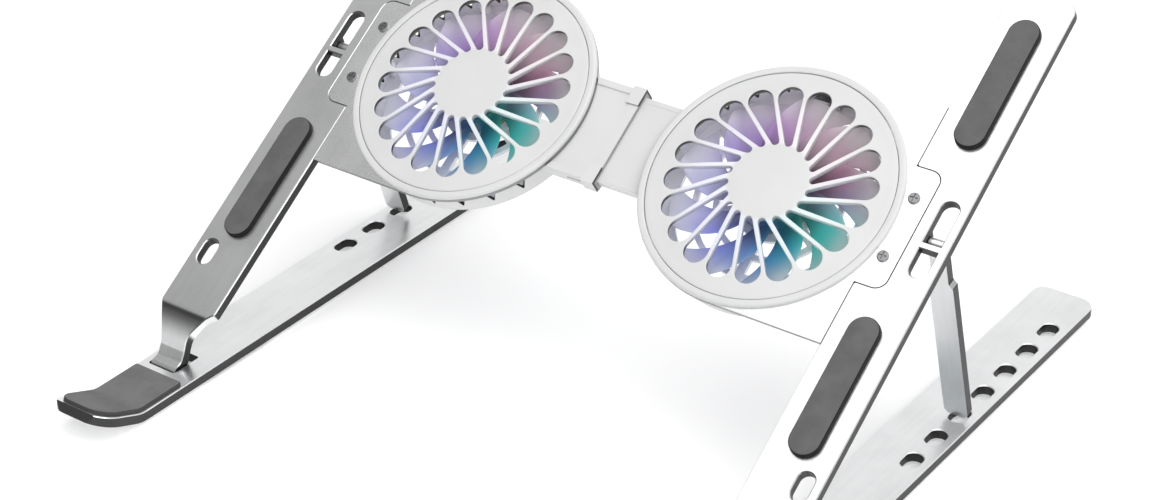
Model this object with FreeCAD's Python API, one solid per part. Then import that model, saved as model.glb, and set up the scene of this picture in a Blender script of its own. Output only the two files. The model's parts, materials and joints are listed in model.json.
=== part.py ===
import FreeCAD, Part
import math
import os

from FreeCAD import Placement, Rotation, Vector

# Laptop cooling pad: two folding side frames with a sliding pair of fans between them.
# Millimetres. X right, Y towards the back, Z up. The origin is on the desk, under the middle.
# Each upper arm is drawn in its own "arm frame": x as in the model, y along the arm from the
# fold hinge, z square to the arm. The arm frame is then tipped up about the hinge.

# Side frames
ARM_TILT = 34.1
SHEET = 3.5
ARM_OUTER = 125.8
ARM_INNER = 102.3
ARM_END = 223.9
ARM_FRONT = 20.2
ARM_RISE = 12.3
CORNER = 4.5
ARM_CHAMFER = 0.35
ARM_HOLE = (119.8, 40.4)
ARM_HOLE_WIDTH = 6.0
ARM_HOLE_LENGTH = 10.0

# Base arms
FOOT_PAD = 1.5
FOOT_PAD_X = 108.6
FOOT_PAD_Y = (-68.0, 108.0)
FOOT_PAD_WIDTH = 9.0
FOOT_PAD_LENGTH = 34.0
BASE_TOP = FOOT_PAD + SHEET
BASE_INNER = 102.5
BASE_CHAMFER = 0.3
HALF_LENGTH = 135.1
HOOK_BEND_Y = -116.1
HOOK_ANGLE = 22.0
HOOK_LENGTH = 19.2
HOOK_PAD = 1.4
HOOK_PAD_INSET = 1.2
HOOK_PAD_REAR = -95.65
HOLE_X = 119.6
HOLE_COUNT = 7
HOLE_PITCH = 16.35
HOLE_FIRST_Y = 9.9
HOLE_LENGTH = 9.6
HOLE_WIDTH = 6.2

# Fold hinge
HINGE_Y = -88.65
HINGE_Z = 3.5
PIN_R = 1.0
RUN_GAP = 0.05
BARREL_R = 2.6
NECK_INNER = 111.4
NECK_OUTER = 122.4
NECK_GAP = 0.5

# Strut and its pivot, in the arm frame
SLOT_FROM = 116.2
SLOT_TO = 144.4
SLOT_WIDTH = 6.5
CROSSBAR_FROM = 126.2
CROSSBAR = 2.4
PIVOT_Y = 131.1
PIVOT_DROP = 5.3
PIVOT_Z = ARM_RISE - PIVOT_DROP
STRUT_LEAN = 18.4
STRUT_SHEET = 3.2
STRUT_WIDTH = 8.8
STRUT_NECK = 5.9
STRUT_LENGTH = 80.2
STRUT_SHOULDER = -17.0
STRUT_BARREL_R = 2.1
LUG = 1.2
LUG_GAP = 0.3
PIN_HALF = 4.6

# Fan modules, in the arm frame; heights are measured from the arm's top face
FAN_X = 60.0
FAN_Y = 130.5
RIM_R = 45.0
RIM_INNER = 41.0
GRILLE_R = 42.2
PLATE = 1.5
TAB_X = 112.3
TAB_GAP = 0.1
NOTCH_HALF = 22.0
LEDGE_INNER = 102.8
SCREW_X = 107.0
SCREW_SPREAD = 11.0
SCREW_R = 0.78
SCREW_HEAD_R = 2.0
SCREW_HEAD = 0.7
TAPPED_R = 0.8
HOUSING_R = 42.3
HOUSING_WALL = 1.5
HOUSING_FLOOR = -12.1
VENTS = 24
FLOOR_RINGS = ((15, 20.5), (22.5, 28), (30, 35.5))
FLOOR_SPOKE = 3.2
BOSS_R = 1.9
BOSS_REACH = 39.4
BOSS_ANGLES = (60, 300, 0)
BRIDGE_ANGLE = 180
PETALS = 20
PETAL_SKEW = 6.4
PETAL_ROOT = 13.4
PETAL_TIP = 31.7
PETAL_ROOT_R = 1.3
PETAL_TIP_R = 4.3

# Motor and rotor, about the fan's axis
HUB_R = 12.5
HUB_TOP = -2.2
ROTOR_LOW = -9.0
BLADES = 9
BLADE_R = 35.5
BLADE_THICK = 0.9
BLADE_MIDDLE = -5.6
SHAFT_R = 1.0
TUBE_R = 2.2
POLE_R = 8.8
MAGNET_INNER = 9.4
MAGNET_OUTER = 10.9
BOARD = 0.8
LAMPS = 12
LAMP_BOARD = 0.7
LAMP_BOARD_INNER = 37.6
LAMP_BOARD_OUTER = 40.5

# Telescoping bridge
SLEEVE_HALF = 18.5
SLEEVE_TOP = -1.6
SLEEVE_BOTTOM = -6.8
SLEEVE_WALL = 1.1
SLEEVE_END = 0.9
TONGUE_GAP = 0.15
TONGUE_END = -12.5
TONGUE_WEB = 1.1
CLIP_LENGTH = 5.0
CLIP_WALL = 0.9
RIBBON_HALF = 4.0
RIBBON = 0.3

# Power inlet, in the right housing's rear wall
INLET_MIDDLE = -7.2
INLET_WIDTH = 9.8
INLET_HEIGHT = 4.1
INLET_DEPTH = 6.0
INLET_WALL = 0.42

# Silicone pads on the arms
PAD_X = 114.0
PAD_WIDTH = 11.0
PAD_HEIGHT = 2.2
PAD_LENGTH = 50.0
PAD_ROUND = 0.5
PADS_FROM = {"front": 48.4, "rear": 162.9}

X_AXIS = Vector(1, 0, 0)
Z_AXIS = Vector(0, 0, 1)


def on_plane(a, b, axis):
    """Point (a, b) of an outline that is square to the given axis."""
    if axis == "x":
        return Vector(0, a, b)
    return Vector(a, b, 0)


def rounded_wire(corners, axis="z"):
    """Closed outline of straight runs; each corner is (a, b, radius)."""
    edges = []
    joints = []
    count = len(corners)
    for i in range(count):
        before = Vector(*corners[i - 1][:2], 0)
        here = Vector(*corners[i][:2], 0)
        after = Vector(*corners[(i + 1) % count][:2], 0)
        back = (before - here).normalize()
        ahead = (after - here).normalize()
        radius = corners[i][2]
        half = back.getAngle(ahead) / 2
        reach = 0
        middle = Vector()
        if radius:
            reach = radius / math.tan(half)
            middle = (back + ahead).normalize() * (radius / math.sin(half) - radius)
        joints.append((here + back * reach, here + middle, here + ahead * reach, radius))
    for i in range(count):
        start, middle, end, radius = joints[i]
        if radius:
            arc = [on_plane(p.x, p.y, axis) for p in (start, middle, end)]
            edges.append(Part.Arc(*arc).toShape())
        following = joints[(i + 1) % count][0]
        if end.distanceToPoint(following) > 1e-6:
            line = [on_plane(p.x, p.y, axis) for p in (end, following)]
            edges.append(Part.LineSegment(*line).toShape())
    return Part.Wire(edges)


def prism(corners, low, high):
    """Plan outline raised from low to high."""
    face = Part.Face(rounded_wire(corners))
    face.translate(Vector(0, 0, low))
    return face.extrude(Vector(0, 0, high - low))


def bar_section(corners, x_from, x_to):
    """Side outline in y and z, carried along x."""
    face = Part.Face(rounded_wire(corners, "x"))
    face.translate(Vector(x_from, 0, 0))
    return face.extrude(Vector(x_to - x_from, 0, 0))


def rectangle(x0, x1, y0, y1, r):
    return [(x0, y0, r), (x1, y0, r), (x1, y1, r), (x0, y1, r)]


def block(x0, x1, y0, y1, z0, z1, r=0):
    return prism(rectangle(x0, x1, y0, y1, r), z0, z1)


def obround(cx, cy, width, length, z0, z1):
    """Plate with full round ends, long along y."""
    r = width / 2 - 0.001
    return block(cx - width / 2, cx + width / 2, cy - length / 2, cy + length / 2, z0, z1, r)


def rod(r, x0, x1, y=0, z=0):
    return Part.makeCylinder(r, x1 - x0, Vector(x0, y, z), X_AXIS)


def disc(cx, cy, r, z0, z1):
    return Part.makeCylinder(r, z1 - z0, Vector(cx, cy, z0), Z_AXIS)


def ring(cx, cy, r_in, r_out, z0, z1):
    return disc(cx, cy, r_out, z0, z1).cut(disc(cx, cy, r_in, z0 - 1, z1 + 1))


def soften(shape, radius, test):
    """Round the edges whose middle passes the test."""
    edges = [e for e in shape.Edges if test(e)]
    return shape.makeFillet(radius, edges)


def mirrored(shape):
    return shape.mirror(Vector(0, 0, 0), X_AXIS)


def arm_placement():
    return Placement(Vector(0, HINGE_Y, HINGE_Z), Rotation(X_AXIS, ARM_TILT))


def on_arm(shape):
    """Move a shape from the arm frame to the model."""
    placed = shape.copy()
    placed.Placement = arm_placement().multiply(placed.Placement)
    return placed


def level(height):
    """Arm-frame z of a height above the arm's top face."""
    return ARM_RISE + height


def save(name, shape):
    solids = shape.Solids
    whole = solids[0] if len(solids) == 1 else Part.Compound(solids)
    if not whole.isValid():
        print("not valid:", name)
    whole.exportStep("parts/" + name + ".step")


# Side frame, drawn for the right side

def arm_section():
    """Arm seen from the side: flat, then the neck bends down and flares onto the hinge barrel."""
    return [
        (ARM_END, ARM_RISE, 0),
        (17.6, ARM_RISE, 5),
        (6.0, 3.9, 4),
        (3.0, 2.3, 1.5),
        (0.0, BARREL_R - 0.02, 0),
        (0.6, 0.0, 0),
        (1.2, -2.28, 0),
        (5.4, -0.8, 2),
        (9.2, 2.0, 5),
        (16.2, ARM_RISE - SHEET, 5),
        (ARM_END, ARM_RISE - SHEET, 0),
    ]


def arm_outline():
    notch_from = FAN_Y - NOTCH_HALF
    notch_to = FAN_Y + NOTCH_HALF
    return [
        (ARM_OUTER, ARM_END, CORNER),
        (ARM_INNER, ARM_END, CORNER),
        (ARM_INNER, notch_to, 1.0),
        (TAB_X, notch_to, 4.0),
        (TAB_X, notch_from, 4.0),
        (ARM_INNER, notch_from, 1.0),
        (ARM_INNER, ARM_FRONT, 1.5),
        (NECK_INNER, 10.6, 6.0),
        (NECK_INNER, -8.0, 0),
        (NECK_OUTER, -8.0, 0),
        (NECK_OUTER, 7.0, 6.0),
        (ARM_OUTER - 0.8, 17.2, 1.0),
        (ARM_OUTER, 19.0, 0.8),
    ]


def notch_ledge():
    """Half-thickness ledge in the arm's notch that the fan plate's tab lies on."""
    top = level(-PLATE)
    bottom = level(-SHEET)
    ledge = block(LEDGE_INNER, TAB_X + 1, FAN_Y - NOTCH_HALF, FAN_Y + NOTCH_HALF, bottom, top)
    for side in (-1, 1):
        ledge = ledge.cut(disc(SCREW_X, FAN_Y + side * SCREW_SPREAD, TAPPED_R, bottom - 1, top + 1))
    return ledge


def strut_lugs():
    """Two lugs under the slot that carry the strut's pivot pin."""
    lugs = []
    half = STRUT_NECK / 2 + LUG_GAP
    for x0 in (HOLE_X - half - LUG, HOLE_X + half):
        section = [
            (PIVOT_Y - 3.4, level(-SHEET) + 0.5, 0),
            (PIVOT_Y + 3.4, level(-SHEET) + 0.5, 0),
            (PIVOT_Y + 2.2, PIVOT_Z - 2.0, 1.9),
            (PIVOT_Y - 2.2, PIVOT_Z - 2.0, 1.9),
        ]
        lugs.append(bar_section(section, x0, x0 + LUG))
    return lugs


def upper_arm():
    body = bar_section(arm_section(), NECK_INNER - 20, ARM_OUTER + 1)
    body = body.fuse(rod(BARREL_R, NECK_INNER, NECK_OUTER))
    body = body.common(prism(arm_outline(), -10, 30))
    body = body.fuse([notch_ledge()] + strut_lugs())
    body = body.cut(rod(PIN_R + RUN_GAP, NECK_INNER - 1, NECK_OUTER + 1))
    slot_middle = (SLOT_FROM + SLOT_TO) / 2
    slot = obround(HOLE_X, slot_middle, SLOT_WIDTH, SLOT_TO - SLOT_FROM, level(-SHEET - 0.1), 30)
    crossbar = block(HOLE_X - 5, HOLE_X + 5, CROSSBAR_FROM, CROSSBAR_FROM + CROSSBAR, 0, 30)
    body = body.cut(slot.cut(crossbar))
    body = body.cut(obround(*ARM_HOLE, ARM_HOLE_WIDTH, ARM_HOLE_LENGTH, level(-SHEET - 1), 30))
    body = body.cut(rod(PIN_R, HOLE_X - 10, HOLE_X + 10, PIVOT_Y, PIVOT_Z))
    body = body.removeSplitter()

    def top_edge(edge):
        middle = edge.valueAt((edge.FirstParameter + edge.LastParameter) / 2)
        flat = all(abs(v.Point.z - ARM_RISE) < 0.01 for v in edge.Vertexes)
        return flat and abs(middle.z - ARM_RISE) < 0.01 and middle.y > 19.5

    edges = [e for e in body.Edges if top_edge(e)]
    return body.makeChamfer(ARM_CHAMFER, edges)


def arm_pad(start):
    middle = start + PAD_LENGTH / 2
    pad = obround(PAD_X, middle, PAD_WIDTH, PAD_LENGTH, level(0), level(PAD_HEIGHT))
    return soften(pad, PAD_ROUND, lambda e: e.CenterOfMass.z > level(PAD_HEIGHT) - 0.01)


def strut_pivot_pin():
    return rod(PIN_R, HOLE_X - PIN_HALF, HOLE_X + PIN_HALF, PIVOT_Y, PIVOT_Z)


def strut():
    """Strut hanging down its own -z from the pivot, then leaned back about it."""
    half = STRUT_SHEET / 2
    shoulder = STRUT_SHOULDER
    plan = [
        (-STRUT_NECK / 2, 1.2, 0),
        (STRUT_NECK / 2, 1.2, 0),
        (STRUT_NECK / 2, shoulder + 2, 1.5),
        (STRUT_WIDTH / 2, shoulder, 1.0),
        (STRUT_WIDTH / 2, 1.6 - STRUT_LENGTH, 1.2),
        (STRUT_NECK / 2, -STRUT_LENGTH, 0.8),
        (-STRUT_NECK / 2, -STRUT_LENGTH, 0.8),
        (-STRUT_WIDTH / 2, 1.6 - STRUT_LENGTH, 1.2),
        (-STRUT_WIDTH / 2, shoulder, 1.0),
        (-STRUT_NECK / 2, shoulder + 2, 1.5),
    ]
    plate = prism(plan, -half, half)
    plate.rotate(Vector(), X_AXIS, 90)
    barrel = rod(STRUT_BARREL_R, -STRUT_NECK / 2, STRUT_NECK / 2)
    whole = plate.fuse(barrel)
    above = Part.makeBox(20, 8, 5, Vector(-10, -4, 0))
    whole = whole.cut(above.cut(rod(STRUT_BARREL_R, -11, 11)))
    whole = whole.cut(rod(PIN_R + RUN_GAP, -10, 10)).removeSplitter()
    pivot = arm_placement().multVec(Vector(0, PIVOT_Y, PIVOT_Z))
    whole.Placement = Placement(Vector(HOLE_X, pivot.y, pivot.z), Rotation(X_AXIS, STRUT_LEAN))
    return whole


# Base arm, drawn for the right side in the model's own frame

def hook_points(offset):
    """Points of the base arm's face, offset up from its top, at the bend and at the tip."""
    a = math.radians(HOOK_ANGLE)
    bend = (HOOK_BEND_Y + offset * math.tan(a / 2), BASE_TOP + offset)
    tip_y = HOOK_BEND_Y - HOOK_LENGTH * math.cos(a) + offset * math.sin(a)
    tip_z = BASE_TOP + HOOK_LENGTH * math.sin(a) + offset * math.cos(a)
    return bend, (tip_y, tip_z)


def base_arm():
    top_bend, top_tip = hook_points(0)
    low_bend, low_tip = hook_points(-SHEET)
    section = [
        (HALF_LENGTH, BASE_TOP, 0),
        (*top_bend, 12),
        (*top_tip, 0),
        (*low_tip, 0),
        (*low_bend, 16),
        (HALF_LENGTH, FOOT_PAD, 0),
    ]
    tip = top_tip[0] - 1.4
    body = bar_section(section, BASE_INNER - 1, ARM_OUTER + 1)
    outline = [
        (BASE_INNER, HALF_LENGTH, CORNER),
        (BASE_INNER, tip, 8.5),
        (ARM_OUTER, tip, 6.0),
        (ARM_OUTER, HALF_LENGTH, CORNER + 1.5),
    ]
    body = body.common(prism(outline, -5, 30))
    for k in range(HOLE_COUNT):
        hole_y = HOLE_FIRST_Y + k * HOLE_PITCH
        body = body.cut(obround(HOLE_X, hole_y, HOLE_WIDTH, HOLE_LENGTH, 0, 10))
    front = HINGE_Y - 3.3
    back = HINGE_Y + 9.5
    slot = block(NECK_INNER - NECK_GAP, NECK_OUTER + NECK_GAP, front, back, 0, 10, 1.0)
    body = body.cut(slot)
    body = body.cut(rod(PIN_R, NECK_INNER - 4, ARM_OUTER + 1, HINGE_Y, HINGE_Z))

    def top_edge(edge):
        middle = edge.CenterOfMass
        on_top = middle.z > BASE_TOP - 0.01 and edge.BoundBox.ZLength < 0.01
        return on_top and middle.y > HINGE_Y + 12

    return body.makeChamfer(BASE_CHAMFER, [e for e in body.Edges if top_edge(e)])


def hinge_pin():
    return rod(PIN_R, NECK_INNER - 4, ARM_OUTER - 0.4, HINGE_Y, HINGE_Z)


def hook_pad():
    """Silicone sheet over the front end of the base arm and up its hook."""
    low_bend, low_tip = hook_points(0)
    high_bend, high_tip = hook_points(HOOK_PAD)
    section = [
        (HOOK_PAD_REAR, BASE_TOP, 0),
        (HOOK_PAD_REAR, BASE_TOP + HOOK_PAD, 0.4),
        (*high_bend, 10.6),
        (*high_tip, 0),
        (*low_tip, 0),
        (*low_bend, 12),
    ]
    tip = low_tip[0] + HOOK_PAD_INSET - 0.2
    inner = BASE_INNER + HOOK_PAD_INSET
    outer = ARM_OUTER - HOOK_PAD_INSET
    outline = [
        (inner, HOOK_PAD_REAR + 1, 0),
        (inner, tip, 7.5),
        (outer, tip, 5.0),
        (outer, HOOK_PAD_REAR + 1, 0),
    ]
    pad = bar_section(section, BASE_INNER, ARM_OUTER)
    return pad.common(prism(outline, -5, 30))


def foot_pads():
    """Two silicone pads under the base arm, beside the height holes."""
    pads = []
    for y in FOOT_PAD_Y:
        pads.append(obround(FOOT_PAD_X, y, FOOT_PAD_WIDTH, FOOT_PAD_LENGTH, 0, FOOT_PAD))
    return Part.Compound(pads)


# Fan module, drawn for the right side in the arm frame

def fan_plate():
    """Thin cover: a disc joined to a square that runs out to the arm, with a tab in its notch."""
    low = level(-PLATE)
    top = level(0)
    round_part = disc(FAN_X, FAN_Y, RIM_R, low, top)
    reach = ARM_INNER - RUN_GAP
    square_part = block(FAN_X, reach, FAN_Y - RIM_R, FAN_Y + RIM_R, low, top)
    tab_low = FAN_Y - NOTCH_HALF + TAB_GAP
    tab_high = FAN_Y + NOTCH_HALF - TAB_GAP
    tab = prism([
        (ARM_INNER - 2, tab_low, 0),
        (TAB_X - TAB_GAP, tab_low, 3.9),
        (TAB_X - TAB_GAP, tab_high, 3.9),
        (ARM_INNER - 2, tab_high, 0),
    ], low, top)
    plate = round_part.fuse([square_part, tab]).removeSplitter()
    plate = plate.cut(disc(FAN_X, FAN_Y, RIM_INNER, low - 1, top + 1))
    for side in (-1, 1):
        hole = disc(SCREW_X, FAN_Y + side * SCREW_SPREAD, SCREW_HEAD_R * 0.55, low - 1, top + 1)
        plate = plate.cut(hole)
    return plate


def plate_screws():
    screws = []
    for side in (-1, 1):
        y = FAN_Y + side * SCREW_SPREAD
        shank = disc(SCREW_X, y, SCREW_R, level(-SHEET), level(0.1))
        head = disc(SCREW_X, y, SCREW_HEAD_R, level(0), level(SCREW_HEAD))
        head = soften(head, SCREW_HEAD / 2, lambda e: e.CenterOfMass.z > level(SCREW_HEAD) - 0.1)
        bottom = level(SCREW_HEAD - 0.4)
        cross = [block(SCREW_X - 1.4, SCREW_X + 1.4, y - 0.25, y + 0.25, bottom, level(1)),
                 block(SCREW_X - 0.25, SCREW_X + 0.25, y - 1.4, y + 1.4, bottom, level(1))]
        screws.append(head.fuse(shank).cut(cross))
    return Part.Compound(screws)


def turned(points):
    """Solid of revolution about the fan's axis; points are (radius, height)."""
    loop = [Vector(r, 0, z) for r, z in points]
    wire = Part.makePolygon(loop + [loop[0]])
    solid = Part.Face(wire).revolve(Vector(), Z_AXIS, 360)
    solid.translate(Vector(FAN_X, FAN_Y, ARM_RISE))
    return solid


def rim_ring():
    """Raised plastic rim that covers the joint between plate and grille."""
    return turned([
        (GRILLE_R + 0.15, 0), (GRILLE_R + 0.15, 0.9), (GRILLE_R + 0.6, 1.25),
        (RIM_R - 0.8, 1.25), (RIM_R - 0.1, 0.75), (RIM_R - 0.1, 0),
    ])


def petal(direction):
    """Opening between two swirled spokes: two circles joined by their outer tangents."""
    run = PETAL_TIP - PETAL_ROOT
    spread = math.asin((PETAL_TIP_R - PETAL_ROOT_R) / run)
    side_x = -math.sin(spread)
    side_y = math.cos(spread)
    root_up = Vector(PETAL_ROOT + PETAL_ROOT_R * side_x, PETAL_ROOT_R * side_y, 0)
    tip_up = Vector(PETAL_TIP + PETAL_TIP_R * side_x, PETAL_TIP_R * side_y, 0)
    root_down = Vector(root_up.x, -root_up.y, 0)
    tip_down = Vector(tip_up.x, -tip_up.y, 0)
    edges = [
        Part.LineSegment(root_up, tip_up).toShape(),
        Part.Arc(tip_up, Vector(PETAL_TIP + PETAL_TIP_R, 0, 0), tip_down).toShape(),
        Part.LineSegment(tip_down, root_down).toShape(),
        Part.Arc(root_down, Vector(PETAL_ROOT - PETAL_ROOT_R, 0, 0), root_up).toShape(),
    ]
    tool = Part.Face(Part.Wire(edges)).extrude(Vector(0, 0, 12))
    tool.translate(Vector(0, -PETAL_SKEW, level(-6)))
    tool.rotate(Vector(), Z_AXIS, direction)
    tool.translate(Vector(FAN_X, FAN_Y, 0))
    return tool


def grille():
    """Slightly domed disc with swirled petal openings round a blank hub."""
    ledge = RIM_INNER - 0.2
    blank = turned([
        (0, 1.0), (0, 3.0), (9, 2.9), (13.2, 2.6), (24, 1.9), (36.5, 1.15), (38.5, 1.0),
        (GRILLE_R - 0.4, 1.0), (GRILLE_R, 0.6), (GRILLE_R, 0), (ledge, 0), (ledge, -1.3),
        (ledge - 1.2, -1.3), (37.8, -0.5), (24, 0.2),
    ])
    step = 360 / PETALS
    return blank.cut([petal(step * (k + 0.5)) for k in range(PETALS)])


def side_vents():
    """Three-cornered openings round the housing's wall, clear of the bridge and of the arm."""
    tools = []
    for k in range(VENTS):
        angle = 360 / VENTS * (k + 0.5)
        facing_bridge = abs(angle - BRIDGE_ANGLE) < 33
        if facing_bridge:
            continue
        corners = [(-2.6, -2.8, 0.3), (2.6, -2.8, 0.3), (0, -9.2, 0.3)]
        tooth = bar_section(corners, HOUSING_R - 4.3, HOUSING_R + 3.7)
        tooth.rotate(Vector(), Z_AXIS, angle)
        tooth.translate(Vector(FAN_X, FAN_Y, ARM_RISE))
        tools.append(tooth)
    return tools


def floor_vents():
    """Air inlets in the housing's floor: long arcs between six spokes and a middle ring."""
    tools = []
    low = level(HOUSING_FLOOR - 1)
    high = level(HOUSING_FLOOR + 3)
    spokes = []
    for turn in (30, 90, 150):
        spoke = block(-HOUSING_R, HOUSING_R, -FLOOR_SPOKE / 2, FLOOR_SPOKE / 2, low, high)
        spoke.rotate(Vector(), Z_AXIS, turn)
        spoke.translate(Vector(FAN_X, FAN_Y, 0))
        spokes.append(spoke)
    for inner, outer in FLOOR_RINGS:
        tools.append(ring(FAN_X, FAN_Y, inner, outer, low, high).cut(spokes))
    return tools


def boss_places():
    """Places of the three screw bosses, outside the blades."""
    places = []
    for angle in BOSS_ANGLES:
        a = math.radians(angle)
        places.append((FAN_X + BOSS_REACH * math.cos(a), FAN_Y + BOSS_REACH * math.sin(a)))
    return places


def housing(bridge_part):
    """Plastic cup under the plate, with vents, and a window for the bridge part on its side."""
    floor = level(HOUSING_FLOOR)
    top = level(-PLATE)
    cup = disc(FAN_X, FAN_Y, HOUSING_R, floor, top)
    cup = soften(cup, 1.0, lambda e: e.CenterOfMass.z < floor + 0.01)
    inner = disc(FAN_X, FAN_Y, HOUSING_R - HOUSING_WALL, floor + HOUSING_WALL, top + 1)
    cup = cup.cut([inner] + side_vents() + floor_vents())
    bosses = [disc(x, y, BOSS_R, floor + 0.5, top) for x, y in boss_places()]
    cup = cup.fuse(bosses)
    cup = cup.cut([disc(x, y, TAPPED_R, floor - 1, top + 1) for x, y in boss_places()])
    cup = cup.cut([disc(x, y, 1.7, floor - 1, floor + 0.9) for x, y in boss_places()])
    cup = cup.cut(disc(FAN_X, FAN_Y, TUBE_R + RUN_GAP, floor + 0.6, floor + 2))
    if bridge_part == "sleeve":
        half = SLEEVE_HALF - 0.8
        low = level(SLEEVE_BOTTOM + SLEEVE_WALL)
        high = level(SLEEVE_TOP - SLEEVE_WALL + 0.3)
    else:
        half = RIBBON_HALF + 1.0
        low = level(-4.6)
        high = level(-3.9)
    window = block(0, FAN_X / 2, FAN_Y - half, FAN_Y + half, low, high)
    return cup.cut(window).removeSplitter()


def housing_screws():
    floor = level(HOUSING_FLOOR)
    screws = []
    for x, y in boss_places():
        head = disc(x, y, 1.6, floor + 0.2, floor + 0.9)
        screws.append(head.fuse(disc(x, y, SCREW_R, floor + 0.5, level(-PLATE) - 0.3)))
    return Part.Compound(screws)


def lamp_ring():
    """Ring-shaped board under the plate with small lamps that face the blades."""
    board_low = level(-PLATE - LAMP_BOARD)
    board = ring(FAN_X, FAN_Y, LAMP_BOARD_INNER, LAMP_BOARD_OUTER, board_low, level(-PLATE))
    bosses = [disc(x, y, BOSS_R + 0.2, board_low - 1, level(0)) for x, y in boss_places()]
    board = board.cut(bosses)
    lamps = []
    for k in range(LAMPS):
        angle = 360 / LAMPS * (k + 0.5)
        facing_bridge = abs(angle - BRIDGE_ANGLE) < 31
        if facing_bridge:
            continue
        lamp = Part.makeBox(2.0, 2.8, 0.9, Vector(LAMP_BOARD_INNER + 0.3, -1.4, board_low - 0.9))
        lamp.rotate(Vector(), Z_AXIS, angle)
        lamp.translate(Vector(FAN_X, FAN_Y, 0))
        lamps.append(lamp)
    return board.fuse(lamps)


def stator():
    """Four-pole iron core on a tube that holds the bush."""
    core = ring(FAN_X, FAN_Y, TUBE_R, 3.6, level(-9.4), level(-4.4))
    low = level(-8.4)
    top = level(-5.4)
    reach = POLE_R - 0.4
    arms = [block(FAN_X - reach, FAN_X + reach, FAN_Y - 1.1, FAN_Y + 1.1, low, top),
            block(FAN_X - 1.1, FAN_X + 1.1, FAN_Y - reach, FAN_Y + reach, low, top)]
    shoes = ring(FAN_X, FAN_Y, POLE_R - 1.4, POLE_R, level(-8.8), level(-5.0))
    gaps = []
    for turn in (45, -45):
        gap = block(-12, 12, -1.5, 1.5, level(-10), level(-4))
        gap.rotate(Vector(), Z_AXIS, turn)
        gap.translate(Vector(FAN_X, FAN_Y, 0))
        gaps.append(gap)
    bore = disc(FAN_X, FAN_Y, TUBE_R, level(-12), level(0))
    return core.fuse(arms + [shoes.cut(gaps)]).cut(bore).removeSplitter()


def windings():
    coils = []
    for turn in range(4):
        coil = Part.makeBox(2.8, 5.0, 4.4, Vector(3.9, -2.5, level(-9.1)))
        coil = soften(coil, 0.9, lambda e: abs(e.tangentAt(e.FirstParameter).x) > 0.9)
        coil = coil.cut(Part.makeBox(10, 2.3, 3.1, Vector(0, -1.15, level(-8.45))))
        coil.rotate(Vector(), Z_AXIS, 90 * turn)
        coil.translate(Vector(FAN_X, FAN_Y, 0))
        coils.append(coil)
    return Part.Compound(coils)


def motor_board():
    low = level(HOUSING_FLOOR + HOUSING_WALL)
    board = ring(FAN_X, FAN_Y, 3.7, 12, low, low + BOARD)
    chip = block(FAN_X + 5, FAN_X + 8, FAN_Y + 3.5, FAN_Y + 6.5, low + BOARD, low + BOARD + 0.6)
    return board.fuse(chip)


def bush():
    return ring(FAN_X, FAN_Y, SHAFT_R + RUN_GAP, TUBE_R, level(-11.4), level(-4.6))


def shaft():
    return disc(FAN_X, FAN_Y, SHAFT_R, level(-11.2), level(-2.6))


def magnet():
    return ring(FAN_X, FAN_Y, MAGNET_INNER, MAGNET_OUTER, level(ROTOR_LOW), level(-3.6))


def blade():
    """One swept blade, from the hub's skirt to just inside the lamp ring."""
    stations = ((HUB_R - 0.8, 0.0, 4.2, 5.0), (22.0, -12.0, 6.4, 5.6), (BLADE_R, -32.0, 8.0, 5.8))
    half = BLADE_THICK / 2
    sections = []
    for radius, turn, half_chord, height in stations:
        pitch = math.atan2(height, 2 * half_chord)
        cosine = math.cos(pitch)
        sine = math.sin(pitch)
        corners = []
        for left, up in ((-1, -1), (1, -1), (1, 1), (-1, 1)):
            along = left * half_chord
            across = up * half
            spot = Vector(radius, along * cosine - across * sine, along * sine + across * cosine)
            corners.append(Rotation(Z_AXIS, turn).multVec(spot))
        sections.append(Part.makePolygon(corners + [corners[0]]))
    return Part.makeLoft(sections, True, False)


def rotor():
    """Hub cup with its blades."""
    hub = disc(0, 0, HUB_R, ROTOR_LOW, HUB_TOP)
    hub = soften(hub, 0.8, lambda e: e.CenterOfMass.z > HUB_TOP - 0.1)
    hub = hub.cut([disc(0, 0, MAGNET_OUTER, -10, -3.6), disc(0, 0, SHAFT_R, -10, 0)])
    blades = []
    for k in range(BLADES):
        one = blade()
        one.translate(Vector(0, 0, BLADE_MIDDLE))
        one.rotate(Vector(), Z_AXIS, 360 / BLADES * k)
        blades.append(one)
    trim = ring(0, 0, MAGNET_OUTER + 0.3, BLADE_R, ROTOR_LOW, HUB_TOP - 0.1)
    whole = hub.fuse([one.common(trim) for one in blades]).removeSplitter()
    whole.translate(Vector(FAN_X, FAN_Y, ARM_RISE))
    return whole


# Bridge between the two fans, in the arm frame

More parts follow.
